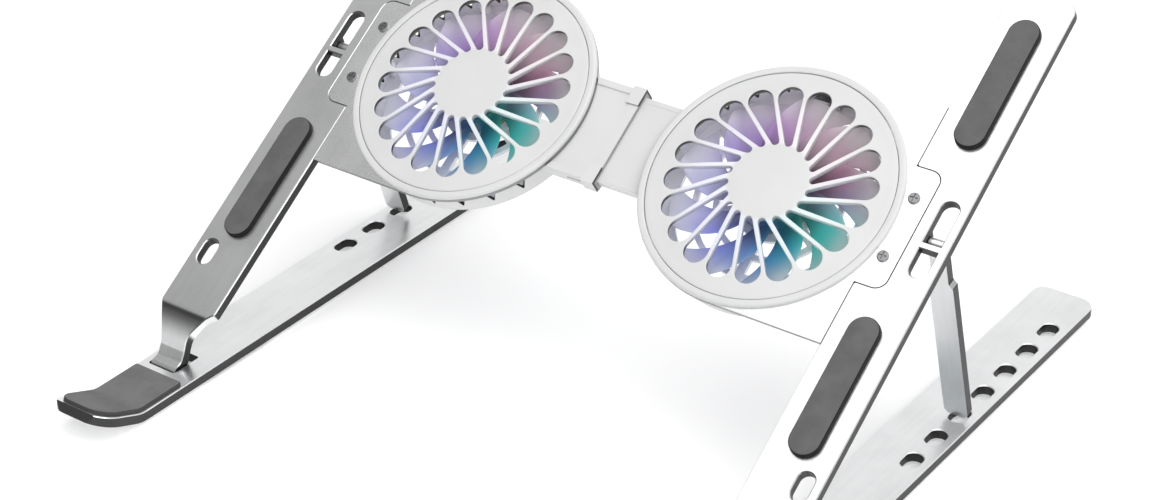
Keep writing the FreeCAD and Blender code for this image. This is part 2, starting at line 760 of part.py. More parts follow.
def sleeve():
    """Flat tube on the left housing, with raised rims and a lip at its open end."""
    low = level(SLEEVE_BOTTOM)
    top = level(SLEEVE_TOP)
    front = FAN_Y - SLEEVE_HALF
    back = FAN_Y + SLEEVE_HALF
    tube = block(-30, SLEEVE_END, front, back, low, top)
    rims = [block(-30, SLEEVE_END, front, front + 2.4, top, top + 0.5),
            block(-30, SLEEVE_END, back - 2.4, back, top, top + 0.5),
            block(SLEEVE_END - 3.4, SLEEVE_END, front, back, top, top + 0.3)]
    tube = tube.fuse(rims)
    hollow = block(-40, SLEEVE_END + 1, front + SLEEVE_WALL, back - SLEEVE_WALL,
                   low + SLEEVE_WALL, top - SLEEVE_WALL)
    tube = tube.cut(hollow)
    for y in (front, back):
        tube = tube.cut(block(-11, -3.4, y - 0.5, y + 0.5, low + 2.0, low + 3.0))
        inward = 1 if y == front else -1
        edges = sorted((y - inward * 0.5, y + inward * 6.0))
        tube = tube.cut(block(SLEEVE_END - 5.2, SLEEVE_END + 1, edges[0], edges[1], top - 0.3, top + 1))
    tube = tube.cut(disc(-FAN_X, FAN_Y, HOUSING_R, low - 1, top + 2))
    under_rim = disc(-FAN_X, FAN_Y, RIM_R + 0.3, top - 0.1, top + 2)
    return tube.cut(under_rim).removeSplitter()


def corner_clips():
    """Two clips that snap over the sleeve's end corners and stop the tongue."""
    clips = []
    top = level(SLEEVE_TOP)
    for side in (-1, 1):
        edge = FAN_Y + side * SLEEVE_HALF
        start = SLEEVE_END - CLIP_LENGTH
        y0, y1 = sorted((edge - side * 5.8, edge + side * CLIP_WALL))
        cap = block(start, SLEEVE_END, y0, y1, top - 0.3, top + 0.9)
        y0, y1 = sorted((edge, edge + side * CLIP_WALL))
        skirt = block(start, SLEEVE_END, y0, y1, level(SLEEVE_BOTTOM) + 0.4, top - 0.3)
        clips.append(cap.fuse(skirt).removeSplitter())
    return Part.Compound(clips)


def tongue():
    """Shallow channel on the right housing that slides inside the sleeve."""
    half = SLEEVE_HALF - SLEEVE_WALL - TONGUE_GAP
    low = level(SLEEVE_BOTTOM + SLEEVE_WALL + TONGUE_GAP)
    top = level(SLEEVE_TOP - SLEEVE_WALL - TONGUE_GAP)
    bar = block(TONGUE_END, 30, FAN_Y - half, FAN_Y + half, low, top)
    channel = block(TONGUE_END - 1, 40, FAN_Y - half + 3, FAN_Y + half - 3, low - 1, top - TONGUE_WEB)
    bar = bar.cut(channel)
    for side in (-1, 1):
        middle = FAN_Y + side * (half - 1.2)
        bar = bar.fuse(block(TONGUE_END + 16, 30, middle - 0.6, middle + 0.6, top, top + 0.1))
    return bar.cut(disc(FAN_X, FAN_Y, HOUSING_R, low - 1, top + 2)).removeSplitter()


def ribbon(x0, x1, low):
    return block(x0, x1, FAN_Y - RIBBON_HALF, FAN_Y + RIBBON_HALF, low, low + RIBBON)


def power_inlet():
    """Small power socket let into the rear wall of the right housing."""
    half_x = INLET_WIDTH / 2
    half_z = INLET_HEIGHT / 2
    inner_x = half_x - INLET_WALL
    inner_z = half_z - INLET_WALL
    shell = prism(rectangle(-half_x, half_x, -half_z, half_z, 1.6), 0, INLET_DEPTH)
    mouth = prism(rectangle(-inner_x, inner_x, -inner_z, inner_z, 1.3), 0.6, INLET_DEPTH + 1)
    return place_inlet(shell.cut(mouth))


def inlet_contacts():
    return place_inlet(Part.makeBox(6.6, 0.7, INLET_DEPTH - 1.8, Vector(-3.3, -0.35, 0.6)))


def place_inlet(shape):
    shape.rotate(Vector(), X_AXIS, -90)
    shape.translate(Vector(FAN_X, FAN_Y + HOUSING_R - INLET_DEPTH + 0.2, level(INLET_MIDDLE)))
    return shape


def inlet_opening():
    half_x = INLET_WIDTH / 2 + 0.1
    half_z = INLET_HEIGHT / 2 + 0.1
    low = level(INLET_MIDDLE - half_z)
    high = level(INLET_MIDDLE + half_z)
    return block(FAN_X - half_x, FAN_X + half_x, FAN_Y + 30, FAN_Y + 50, low, high)


# Whole object

def side_parts():
    """Right-hand shapes of the nodes that are mirrored on the left."""
    return {
        "arm": on_arm(upper_arm()),
        "front_pad": on_arm(arm_pad(PADS_FROM["front"])),
        "rear_pad": on_arm(arm_pad(PADS_FROM["rear"])),
        "strut_pin": on_arm(strut_pivot_pin()),
        "strut": strut(),
        "base_arm": base_arm(),
        "hinge_pin": hinge_pin(),
        "hook_pad": hook_pad(),
        "foot_pads": foot_pads(),
        "plate": on_arm(fan_plate()),
        "plate_screws": on_arm(plate_screws()),
        "fan_rim": on_arm(rim_ring()),
        "housing_screws": on_arm(housing_screws()),
        "lamp_ring": on_arm(lamp_ring()),
        "stator": on_arm(stator()),
        "windings": on_arm(windings()),
        "motor_board": on_arm(motor_board()),
        "bush": on_arm(bush()),
        "shaft": on_arm(shaft()),
        "magnet": on_arm(magnet()),
    }


def main():
    os.makedirs("parts", exist_ok=True)
    for name, shape in side_parts().items():
        save("right_" + name, shape)
        save("left_" + name, mirrored(shape))

    shift = Vector(-2 * FAN_X, 0, 0)
    for name, shape in (("grille", grille()), ("rotor", rotor())):
        save("right_" + name, on_arm(shape))
        other = shape.copy()
        other.translate(shift)
        save("left_" + name, on_arm(other))

    left_cup = mirrored(housing("sleeve"))
    right_cup = housing("tongue").cut(inlet_opening())
    save("left_housing", on_arm(left_cup))
    save("right_housing", on_arm(right_cup))

    floor = level(SLEEVE_BOTTOM + SLEEVE_WALL)
    web = level(SLEEVE_TOP - SLEEVE_WALL - TONGUE_GAP - TONGUE_WEB)
    save("bridge_sleeve", on_arm(sleeve()))
    save("bridge_clips", on_arm(corner_clips()))
    save("bridge_tongue", on_arm(tongue()))
    save("left_ribbon", on_arm(ribbon(-23.6, -1.5, floor)))
    save("right_ribbon", on_arm(ribbon(TONGUE_END + 1.5, 22, web - RIBBON)))
    save("power_inlet", on_arm(power_inlet()))
    save("inlet_contacts", on_arm(inlet_contacts()))


main()
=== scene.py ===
import json
import math

import bmesh
import bpy
import numpy as np
from bpy.props import FloatProperty, FloatVectorProperty, IntProperty, PointerProperty
from mathutils import Matrix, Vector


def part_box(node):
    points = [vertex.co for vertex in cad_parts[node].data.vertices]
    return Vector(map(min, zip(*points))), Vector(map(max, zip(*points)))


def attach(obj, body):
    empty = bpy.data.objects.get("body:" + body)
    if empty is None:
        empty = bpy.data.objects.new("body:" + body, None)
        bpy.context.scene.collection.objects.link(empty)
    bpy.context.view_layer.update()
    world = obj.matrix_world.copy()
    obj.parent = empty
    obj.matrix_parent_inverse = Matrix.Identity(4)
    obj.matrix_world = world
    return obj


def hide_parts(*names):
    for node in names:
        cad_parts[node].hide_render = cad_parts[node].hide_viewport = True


bl_info = {
    "name": "Laptop Cooling Pad",
    "version": (1, 0, 0),
    "blender": (4, 5, 0),
    "location": "3D View > Sidebar > Cooling Pad",
    # The fan wheels' colour is painted lamp light
    "description": "Silicone strips, swirled guards, tinted fan wheels and finishes "
                   "for a folding cooling pad",
    "category": "Object",
}

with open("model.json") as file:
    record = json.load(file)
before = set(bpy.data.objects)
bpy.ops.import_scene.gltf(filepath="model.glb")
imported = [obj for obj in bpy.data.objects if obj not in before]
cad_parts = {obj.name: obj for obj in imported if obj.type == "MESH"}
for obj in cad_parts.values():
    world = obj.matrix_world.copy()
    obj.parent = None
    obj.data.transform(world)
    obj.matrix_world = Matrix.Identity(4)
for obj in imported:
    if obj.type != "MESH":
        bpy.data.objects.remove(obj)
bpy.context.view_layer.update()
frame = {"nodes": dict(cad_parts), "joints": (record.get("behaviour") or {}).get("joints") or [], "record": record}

MM = 0.001
SIDES = {"left": -1, "right": 1}
JOINTS = {joint["name"]: joint for joint in frame["joints"]}

# The arms, plates and fans lie in one tilted plane; a fan wheel's axle is square to it.
OUT = np.array(JOINTS["right_spin"]["axis"], float)
ALONG = np.cross(OUT, (1.0, 0.0, 0.0))
ACROSS = np.array((1.0, 0.0, 0.0))
FAN_CENTRE = np.array(JOINTS["right_spin"]["pos_m"], float)


# Meshing: points on a straight run and on a corner's arc, and what counts as one point
STRAIGHT = 24
CORNER_STEPS = 14
WELD = 2e-6
DEGENERATE = 1e-7
SHARP = math.radians(38)
GUARD_SHARP = math.radians(50)

# Moulded strips: how far the underside stops short of the wall, where the wall starts, the shares
# of the way to the middle that get a row, and the slack that keeps two half-round ends apart
UNDERCUT = 0.15 * MM
WALL_START = 0.12 * MM
CROWN_SHARES = (0.06, 0.15, 0.3, 0.5, 0.75, 1.0)
ROUND_SLACK = 1e-6

# Edge round, crown and draft of the hook covers and feet, and the cover's corner radii
HOOK_SECTION = (0.45 * MM, 0.05 * MM, 0.05 * MM)
FOOT_SECTION = (0.4 * MM, 0.0, 0.1 * MM)
HOOK_CORNERS = (1.0 * MM, 5.4 * MM, 8.0 * MM, 1.0 * MM)

# Guard: where the openings' sectors start and end, and the steps round an opening's wide end,
# along its side and round its narrow end
SECTOR_INNER = 12.9 * MM
SECTOR_OUTER = 38.2 * MM
GUARD_EDGE = 40 * MM
OPENING_STEPS = (18, 12, 6)

# Profiles as (radius, height) in millimetres, with a round as its centre and its radius
GUARD_ROUND = ((41.75, 0.55), 0.45)
GUARD_LIP = ((42.2, 0.0), (40.8, 0.0), (40.8, -1.2), (40.7, -1.3), (39.7, -1.3))
RIM_INSIDE = (42.36, 0.0)
RIM_OUTSIDE = (44.9, 0.0)
RIM_INNER_ROUND = ((42.71, 0.90), 0.35)
RIM_OUTER_ROUND = ((44.05, 0.40), 0.85)
HUB_COLLAR = ((1.02, -3.65), (1.02, -2.45), (1.3, -2.2))
HUB_TOP = -2.2
HUB_ROUND = 1.2
HUB_ROUND_HEIGHT = -3.4
HUB_FOOT = -8.8
HUB_CHAMFER = 0.2
HUB_INSIDE = ((10.93, -9.0), (10.93, -3.65))
RING_STEPS = 240
HUB_STEPS = 96

# Blades, in millimetres and degrees: height, rise over the chord, its curve, camber, half chords
# at shares of the span, and how deep the root sits in the hub
BLADE_HEIGHT = -5.6
BLADE_RISE = 2.45
BLADE_CURVE = 1.25
BLADE_CAMBER = 0.5
SWEEP_POWER = 1.15
HALF_CHORD_SHARES = (0, 0.45, 1)
HALF_CHORDS = (18.5, 17.6, 15.2)
ROOT_DEPTH = 0.4 * MM
SPAN_STEPS = 20
CHORD_STEPS = 17

# Where the painted lamp light and painted shade change, as distances from a fan's axle
SPOKE_START = (0.0132, 0.0150)
SPOKE_FADE = (0.024, 0.036)
WIDE_END = (0.0315, 0.0350)
OPENINGS_END = (0.0385, 0.0390)
GUARD_WALL = (0.0417, 0.0419)
HOUSING_INSIDE = (0.0410, 0.0412)
VENT_INSIDE = (0.04085, 0.0409)
VENT_OUTSIDE = (0.04215, 0.0422)
WHEEL_DEEP = (0.0140, 0.0245)
WHEEL_PALE = (0.0225, 0.0360)

# Depth of the housing's floor below the fan's plane, and heights over which the painted shade on
# the neck's bend grows
HOUSING_FLOOR = (-0.01195, -0.0118)
NECK_HEIGHTS = (0.0125, 0.0225)
ARM_WALLS_START = -0.102

# Texture scales of moulded plastic and its relief
SPARK_SCALE = 3800
FLOW_SCALE = 45
SPARK_RELIEF = 0.000010

# Stage: each light's place, target, width and depth, then the camera's place and axes
OVERHEAD_LIGHT = ((0.30, -0.22, 1.30), (0.0, 0.0, 0.0), 1.9, 1.7)
FRONT_LIGHT = ((0.9, -1.5, 0.9), (0.0, 0.0, 0.05), 1.2, 0.9)
BRIGHT_WAY = (0.25, 0.85, 0.45)
SKY_DIM = 0.36
SKY_GAIN = 0.50
FLOOR_HALF = 4
FLOOR_CELLS = 8
CAMERA_PLACE = (0.42925, -0.61659, 0.48646)
CAMERA_RIGHT = (0.81566811, 0.57850757, 0.00381039)
CAMERA_UP = (-0.29422956, 0.40916068, 0.86372247)
CAMERA_BACK = (0.49811093, -0.70563201, 0.50395335)


# Sizes and colours that a user may change

class StripSettings(bpy.types.PropertyGroup):
    """Sizes of the silicone strips."""

    edge_round: FloatProperty(
        name="Edge round", description="Radius of the strip's upper edge",
        default=0.00055, min=0.0001, unit="LENGTH")
    crown: FloatProperty(
        name="Crown", description="Rise of the strip's middle over its edges",
        default=0.00012, min=0.0, unit="LENGTH")
    draft: FloatProperty(
        name="Draft", description="How far the strip's wall leans in over its height",
        default=0.00012, min=0.0, unit="LENGTH")


class HookSettings(bpy.types.PropertyGroup):
    """Sizes of the covers on the hooked fronts."""

    corner: FloatVectorProperty(
        name="Bend", description="Corner of the bend on the arm's top face, y and z",
        size=2, default=(-0.1161, 0.005), unit="LENGTH")
    angle: FloatProperty(
        name="Rise", description="Angle of the hook", default=math.radians(22), subtype="ANGLE")
    bend_radius: FloatProperty(
        name="Bend radius", description="Radius of the bend's upper face",
        default=0.012, unit="LENGTH")
    thickness: FloatProperty(
        name="Thickness", description="Thickness of the cover", default=0.0014, unit="LENGTH")


class GuardSettings(bpy.types.PropertyGroup):
    """Sizes of the swirled fan guard."""

    petals: IntProperty(
        name="Petals", description="Number of openings in the guard", default=20, min=3)
    skew: FloatProperty(
        name="Skew", description="Distance of each opening's middle line from the fan's axis",
        default=0.0064, unit="LENGTH")
    root: FloatProperty(
        name="Root", description="Distance of the narrow end's centre along the opening",
        default=0.0134, unit="LENGTH")
    tip: FloatProperty(
        name="Tip", description="Distance of the wide end's centre along the opening",
        default=0.0317, unit="LENGTH")
    root_radius: FloatProperty(
        name="Root radius", description="Radius of the narrow end", default=0.0013, unit="LENGTH")
    tip_radius: FloatProperty(
        name="Tip radius", description="Radius of the wide end", default=0.0043, unit="LENGTH")
    edge_round: FloatProperty(
        name="Edge round", description="Radius of the openings' upper edges",
        default=0.00028, min=0.00005, unit="LENGTH")


class WheelSettings(bpy.types.PropertyGroup):
    """Sizes of the fan wheel."""

    blades: IntProperty(name="Blades", description="Number of blades", default=9, min=2)
    hub_radius: FloatProperty(
        name="Hub radius", description="Outer radius of the hub", default=0.0125, unit="LENGTH")
    tip_radius: FloatProperty(
        name="Tip radius", description="Radius of the blades' tips", default=0.0355, unit="LENGTH")
    sweep: FloatProperty(
        name="Sweep", description="How far a blade's tip trails its root",
        default=math.radians(-34), subtype="ANGLE")
    thickness: FloatProperty(
        name="Thickness", description="Thickness of a blade", default=0.0009, unit="LENGTH")


class FinishSettings(bpy.types.PropertyGroup):
    """Colours of the finishes."""

    metal: FloatVectorProperty(
        name="Metal", description="Colour of the anodised aluminium", subtype="COLOR",
        size=3, default=(0.80, 0.805, 0.81), min=0, max=1)
    plastic: FloatVectorProperty(
        name="Plastic", description="Colour of the white moulded parts", subtype="COLOR",
        size=3, default=(0.66, 0.665, 0.66), min=0, max=1)
    silicone: FloatVectorProperty(
        name="Silicone", description="Colour of the arm strips", subtype="COLOR",
        size=3, default=(0.120, 0.120, 0.120), min=0, max=1)
    hook_silicone: FloatVectorProperty(
        name="Hook silicone", description="Colour of the hook covers", subtype="COLOR",
        size=3, default=(0.150, 0.150, 0.150), min=0, max=1)


class StageSettings(bpy.types.PropertyGroup):
    """Light, floor and camera."""

    key_power: FloatProperty(
        name="Overhead light", description="Power of the large overhead light",
        default=16.0, min=0.0, unit="POWER")
    fill_power: FloatProperty(
        name="Front light", description="Power of the soft light from the front",
        default=6.0, min=0.0, unit="POWER")
    lens: FloatProperty(name="Lens", description="Focal length in millimetres", default=80.04)


# Surfaces worked out as whole arrays

def ring_faces(rows, columns, close_rows):
    """Quads of a grid whose columns close into a ring; its rows may close into a ring as well."""
    bands = rows if close_rows else rows - 1
    r, c = np.meshgrid(np.arange(bands), np.arange(columns), indexing="ij")
    up = (r + 1) % rows
    side = (c + 1) % columns
    quads = (r * columns + c, r * columns + side, up * columns + side, up * columns + c)
    return np.stack(quads, -1).reshape(-1, 4)


def shell(points, close_rows=False):
    """A (rows, columns, 3) array of points as one shell: its points in a list and its quads."""
    rows, columns = points.shape[:2]
    return points.reshape(-1, 3), ring_faces(rows, columns, close_rows)


def turned(profile, angles, close_rows=True):
    """Profile of (radius, height) pairs carried round the axis: (r cos a, r sin a, height)."""
    radius, height = np.asarray(profile, float).T
    return shell(np.stack((
        radius[:, None] * np.cos(angles),
        radius[:, None] * np.sin(angles),
        np.broadcast_to(height[:, None], (len(radius), len(angles))),
    ), -1), close_rows)


def on_plane(points, centre):
    """Points (x, a, n) of the tilted plane in the model: centre + x across + a along + n out."""
    basis = np.stack((ACROSS, ALONG, OUT))
    return points @ basis + centre


def fan_centre(sign):
    """Centre of the fan on one side: the right one's, with x times the sign."""
    return FAN_CENTRE * (sign, 1, 1)


def round_corner(centre, start, end, radius, steps):
    """Arc of a circle from one angle to another, centre + radius (cos a, sin a), with normals."""
    a = np.linspace(start, end, steps)
    normals = np.stack((np.cos(a), np.sin(a)), -1)
    return np.asarray(centre) + radius * normals, normals


def profile_round(centre_and_radius, start, end, steps):
    """Points of a profile's round, from one angle to another."""
    centre, radius = centre_and_radius
    return round_corner(centre, start, end, radius, steps)[0]


def rounded_outline(low, high, radii):
    """Rectangle with a quarter arc of its own radius at each corner, anticlockwise from the
    lower right, with evenly spaced points on the straight runs. Gives points and outward
    normals."""
    corners = (
        (high[0], low[1], -90), (high[0], high[1], 0),
        (low[0], high[1], 90), (low[0], low[1], 180))
    arcs = []
    for (x, y, start), radius in zip(corners, radii):
        inward = (radius if x == low[0] else -radius, radius if y == low[1] else -radius)
        centre = (x + inward[0], y + inward[1])
        ends = math.radians(start), math.radians(start + 90)
        arcs.append(round_corner(centre, *ends, radius, CORNER_STEPS))
    points, normals = [], []
    for i, (arc, facing) in enumerate(arcs):
        after = arcs[(i + 1) % 4][0][0]
        share = np.linspace(0, 1, STRAIGHT + 2)[1:-1, None]
        points += [arc, arc[-1] * (1 - share) + after * share]
        normals += [facing, np.repeat(facing[-1:], STRAIGHT, 0)]
    return np.concatenate(points), np.concatenate(normals)


def capsule_outline(low, high):
    """Outline with half-round ends that fills a box's width and length."""
    radius = (high[0] - low[0]) / 2 - ROUND_SLACK
    return rounded_outline(low[:2], high[:2], [radius] * 4)


def strip_surface(outline, normals, height, edge_round, crown, draft):
    """Closed moulded strip over an outline: the wall rises with a little draft, turns in over a
    quarter round, and the top rises to the middle as crown (1 - (1 - t)^2), where t is how far a
    point lies from the edge to the middle line. Gives (x, y, height) rows from bottom to top."""
    low, high = outline.min(0), outline.max(0)
    half = (high[0] - low[0]) / 2
    facing_point = np.roll(outline[::-1], -STRAIGHT, 0)
    middle = (outline[:, 1] + facing_point[:, 1]) / 2
    spine = np.column_stack((
        np.full(len(outline), (low[0] + high[0]) / 2),
        np.clip(middle, low[1] + half, high[1] - half)))
    turn = np.linspace(0, math.pi / 2, 6)
    inset = draft + edge_round * (1 - np.cos(turn))
    rise = height - crown - edge_round * (1 - np.sin(turn))

    def level(plan, z):
        return np.column_stack((plan, np.full(len(plan), z)))

    rows = [level(spine, 0.0), level(outline - normals * UNDERCUT, 0.0), level(outline, WALL_START)]
    rows += [level(outline - normals * d, z) for d, z in zip(inset, rise)]
    edge = outline - normals * inset[-1]
    for t in CROWN_SHARES:
        z = height - crown + crown * (1 - (1 - t) ** 2)
        rows.append(level(edge * (1 - t) + spine * t, z))
    return np.stack(rows)


def hook_path(u, height, corner, angle, radius, run):
    """Point at length u along the base arm's front and a height off it: straight forwards, an arc
    that turns up, then straight again. Gives y and z from the bend's corner and its two runs."""
    before = run - radius * math.tan(angle / 2)
    turn = np.clip((u - before) / radius, 0, angle)
    past = np.maximum(u - before - radius * angle, 0)
    flat = np.minimum(u, before)
    y = corner[0] + run - flat - (radius - height) * np.sin(turn) - past * math.cos(angle)
    z = corner[1] + radius - (radius - height) * np.cos(turn) + past * math.sin(angle)
    return y, z


def build_piece(name, shells, body, replaced, finish, sharp=SHARP):
    """Makes one mesh object of closed shells, welds it, turns its faces outwards, and lets it
    ride on its body in place of the parts it replaces."""
    points, faces, count = [], [], 0
    for part, quads in shells:
        points.append(part)
        faces.append(quads + count)
        count += len(part)
    mesh = bpy.data.meshes.new(name)
    mesh.from_pydata(np.concatenate(points).tolist(), [], np.concatenate(faces).tolist())
    welded = bmesh.new()
    welded.from_mesh(mesh)
    bmesh.ops.remove_doubles(welded, verts=welded.verts, dist=WELD)
    bmesh.ops.dissolve_degenerate(welded, edges=welded.edges, dist=DEGENERATE)
    bmesh.ops.recalc_face_normals(welded, faces=welded.faces)
    open_edges = sum(1 for edge in welded.edges if not edge.is_manifold)
    if open_edges:
        raise RuntimeError(f"{name} has {open_edges} edges that don't join two faces")
    welded.to_mesh(mesh)
    welded.free()
    mesh.shade_smooth()
    mesh.set_sharp_from_angle(angle=sharp)
    mesh.materials.append(finish)
    piece = bpy.data.objects.new(name, mesh)
    bpy.context.scene.collection.objects.link(piece)
    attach(piece, body)
    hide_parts(*replaced)
    return piece


# Shader maths

class Field:
    """A socket read as a number in a formula: each operator adds one Math node."""

    def __init__(self, paint, socket):
        self.paint = paint
        self.socket = socket

    def math(self, operation, *others):
        """Math node with this field first, then the others."""
        values = dict(enumerate((self,) + others))
        return self.paint.node("Math", {"operation": operation}, values)

    def __add__(self, other):
        return self.math("ADD", other)

    def __sub__(self, other):
        return self.math("SUBTRACT", other)

    def __rsub__(self, other):
        return self.paint.node("Math", {"operation": "SUBTRACT"}, {0: other, 1: self})

    def __mul__(self, other):
        return self.math("MULTIPLY", other)

    def __truediv__(self, other):
        return self.math("DIVIDE", other)

    def __pow__(self, power):
        return self.math("POWER", power)

    def __abs__(self):
        return self.math("ABSOLUTE")

    __radd__ = __add__
    __rmul__ = __mul__


class Paint:
    """A node tree being filled in."""

    def __init__(self, tree):
        self.tree = tree
        tree.nodes.clear()

    def node(self, kind, settings=(), sockets=(), out=0):
        """Adds a node: its settings first, then its sockets' values or links; gives an output."""
        made = self.tree.nodes.new("ShaderNode" + kind)
        for key, value in dict(settings).items():
            if key == "stops":
                self.place_stops(made.color_ramp.elements, value)
            else:
                setattr(made, key, value)
        for key, value in dict(sockets).items():
            if isinstance(value, Field):
                self.tree.links.new(value.socket, made.inputs[key])
            else:
                made.inputs[key].default_value = value
        return Field(self, made.outputs[out]) if made.outputs else None

    def place_stops(self, elements, stops):
        """Fills a colour ramp with (place, colour) pairs."""
        while len(elements) < len(stops):
            elements.new(0.5)
        for element, (place, colour) in zip(elements, stops):
            element.position = place
            element.color = (*colour, 1.0)

    def position(self):
        """Object coordinates."""
        return self.node("TexCoord", out="Object")

    def axis(self, direction, origin=(0, 0, 0)):
        """Distance along a direction from an origin, from Object coordinates."""
        start = -float(np.dot(direction, origin))
        run = self.node("VectorMath", {"operation": "DOT_PRODUCT"},
                        {0: self.position(), 1: tuple(map(float, direction))}, out="Value")
        return run + start

    def facing(self, direction):
        """How far the surface faces a direction, from -1 to 1."""
        normal = self.node("TexCoord", out="Normal")
        return self.node("VectorMath", {"operation": "DOT_PRODUCT"},
                         {0: normal, 1: tuple(map(float, direction))}, out="Value")

    def stretch(self, scales):
        """Object coordinates with each axis scaled."""
        return self.node("VectorMath", {"operation": "MULTIPLY"}, {0: self.position(), 1: scales})

    def step(self, value, low, high):
        """Smooth step from 0 at low to 1 at high."""
        return self.node("MapRange", {"interpolation_type": "SMOOTHSTEP"},
                         {"Value": value, "From Min": low, "From Max": high})

    def noise(self, scale, detail=2.0, rough=0.5, vector=None):
        """Noise from 0 to 1 on Object coordinates, or on another vector."""
        place = self.position() if vector is None else vector
        return self.node("TexNoise", {}, {"Vector": place, "Scale": scale, "Detail": detail,
                                          "Roughness": rough})

    def mix(self, share, first, second):
        """Colour between two colours; 6, 7 and 2 are the Mix node's sockets for colours."""
        def colour(c):
            return c if isinstance(c, Field) else (*c[:3], 1.0)
        return self.node("Mix", {"data_type": "RGBA"},
                         {0: share, 6: colour(first), 7: colour(second)}, out=2)

    def bump(self, height, distance, strength):
        """Normal of a height field."""
        return self.node("Bump", {}, {"Height": height, "Distance": distance, "Strength": strength})

    def surface(self, **values):
        """Principled surface with these sockets, joined to the output."""
        sockets = {key.replace("_", " ").title().replace("Ior", "IOR"): value
                   for key, value in values.items()}
        body = self.node("BsdfPrincipled", {}, sockets)
        self.node("OutputMaterial", {}, {"Surface": body})


def paint_material(name):
    """New material and the paint for its nodes."""
    material = bpy.data.materials.new(name)
    material.use_nodes = True
    return material, Paint(material.node_tree)


def scaled(colour, factor):
    """Colour times a factor, held at white."""
    return tuple(min(1.0, factor * c) for c in colour)


def fan_place(paint):
    """Angle round the nearer fan's axle, from 0 to 1, and distance from it in metres."""
    x = paint.axis(ACROSS)
    across = x - x.math("SIGN") * float(FAN_CENTRE[0])
    along = paint.axis(ALONG, FAN_CENTRE)
    turn = along.math("ARCTAN2", across) / (2 * math.pi) + 0.5
    distance = (across * across + along * along) ** 0.5
    return turn, distance


# Colours of the lamps' light round a fan, painted on wheels, guards and housings, by share of a
# turn from the left through the front
LAMP_COLOURS = (
    (0.00, (0.40, 0.40, 0.60)), (0.10, (0.36, 0.36, 0.62)), (0.16, (0.22, 0.23, 0.58)),
    (0.24, (0.15, 0.22, 0.48)), (0.30, (0.07, 0.21, 0.40)), (0.355, (0.045, 0.28, 0.39)),
    (0.41, (0.045, 0.37, 0.33)), (0.46, (0.070, 0.42, 0.40)), (0.505, (0.20, 0.34, 0.40)),
    (0.54, (0.23, 0.18, 0.29)), (0.60, (0.29, 0.15, 0.22)), (0.66, (0.38, 0.26, 0.32)),
    (0.74, (0.42, 0.30, 0.38)), (0.80, (0.34, 0.20, 0.40)), (0.86, (0.25, 0.15, 0.38)),
    (0.93, (0.31, 0.25, 0.51)), (1.00, (0.40, 0.40, 0.60)),
)


def lamp_colour(paint, turn):
    """Lamp colour at a share of a turn."""
    return paint.node("ValToRGB", {"stops": LAMP_COLOURS}, {"Fac": turn})


def metal_finish(name, colour, grain=5200, smooth=0.30, side_shade=0.065, flat=None, start=None):
    """Bead-blasted, anodised aluminium: fine pits, faint cloudiness, and painted shade on the
    side faces, which are also rougher. flat is the way the sheet faces: the walls of its slots and
    ends get the same painted shade. With a start, which is a distance along the tilted plane, that
    holds behind it only, and the bend in front of it gets painted shade that grows towards its top."""
    material, paint = paint_material(name)
    pits = paint.noise(grain, 1.0, 0.6)
    cloud = paint.noise(38, 3.0, 0.55)
    draw = paint.noise(60, 3.0, 0.6, paint.stretch((9.0, 0.6, 0.6)))
    # Painted shade on the side faces, and below on the sheet's walls; these faces are also rougher
    shaded_sides = paint.step(abs(paint.facing(ACROSS)), 0.72, 0.92)
    if flat is not None:
        walls = 1 - paint.step(abs(paint.facing(flat)), 0.38, 0.55)
        if start is not None:
            walls = walls * paint.step(paint.axis(ALONG, FAN_CENTRE), start, start + 2 * MM)
            # Painted shade on the neck's bend, darker towards its top
            bend = paint.step(paint.facing((0.0, -1.0, 0.0)), 0.62, 0.80)
            height = paint.step(paint.axis((0.0, 0.0, 1.0)), *NECK_HEIGHTS)
            walls = walls.math("MAXIMUM", bend * height * 0.92)
        shaded_sides = shaded_sides.math("MAXIMUM", walls)
    patches = paint.step(cloud * 0.7 + draw * 0.3, 0.3, 0.7)
    tone = paint.mix(patches, scaled(colour, 0.93), scaled(colour, 1.05))
    tone = paint.mix(shaded_sides, tone, scaled(colour, side_shade))
    paint.surface(
        base_color=tone, metallic=1.0,
        roughness=smooth + (cloud - 0.5) * 0.08 + (pits - 0.5) * 0.10 + shaded_sides * 0.12,
        normal=paint.bump(pits, 0.000012, 0.55))
    return material


def moulded(paint, colour):
    """Fine spark-eroded texture, slow changes of gloss, and the colour with faint clouds."""
    spark = paint.noise(SPARK_SCALE, 2.0, 0.65)
    flow = paint.noise(FLOW_SCALE, 2.0)
    return spark, flow, paint.mix(paint.step(flow, 0.35, 0.7), scaled(colour, 0.965), colour)


def moulded_surface(paint, tone, spark, flow, smooth, relief=SPARK_RELIEF):
    """Surface of moulded plastic round a roughness."""
    paint.surface(
        base_color=tone, roughness=smooth + (flow - 0.5) * 0.10 + (spark - 0.5) * 0.08,
        ior=1.49, normal=paint.bump(spark, relief, 0.5))


def plastic_finish(name, colour, shaded=None, share=0.0):
    """Satin moulded plastic. Faces that look the shaded way get painted shade, darker by the share."""
    material, paint = paint_material(name)
    spark, flow, tone = moulded(paint, colour)
    if shaded is not None:
        shade = paint.step(paint.facing(shaded), 0.55, 0.85) * share
        tone = paint.mix(shade, tone, (0.015, 0.015, 0.017))
    moulded_surface(paint, tone, spark, flow, 0.36)
    return material


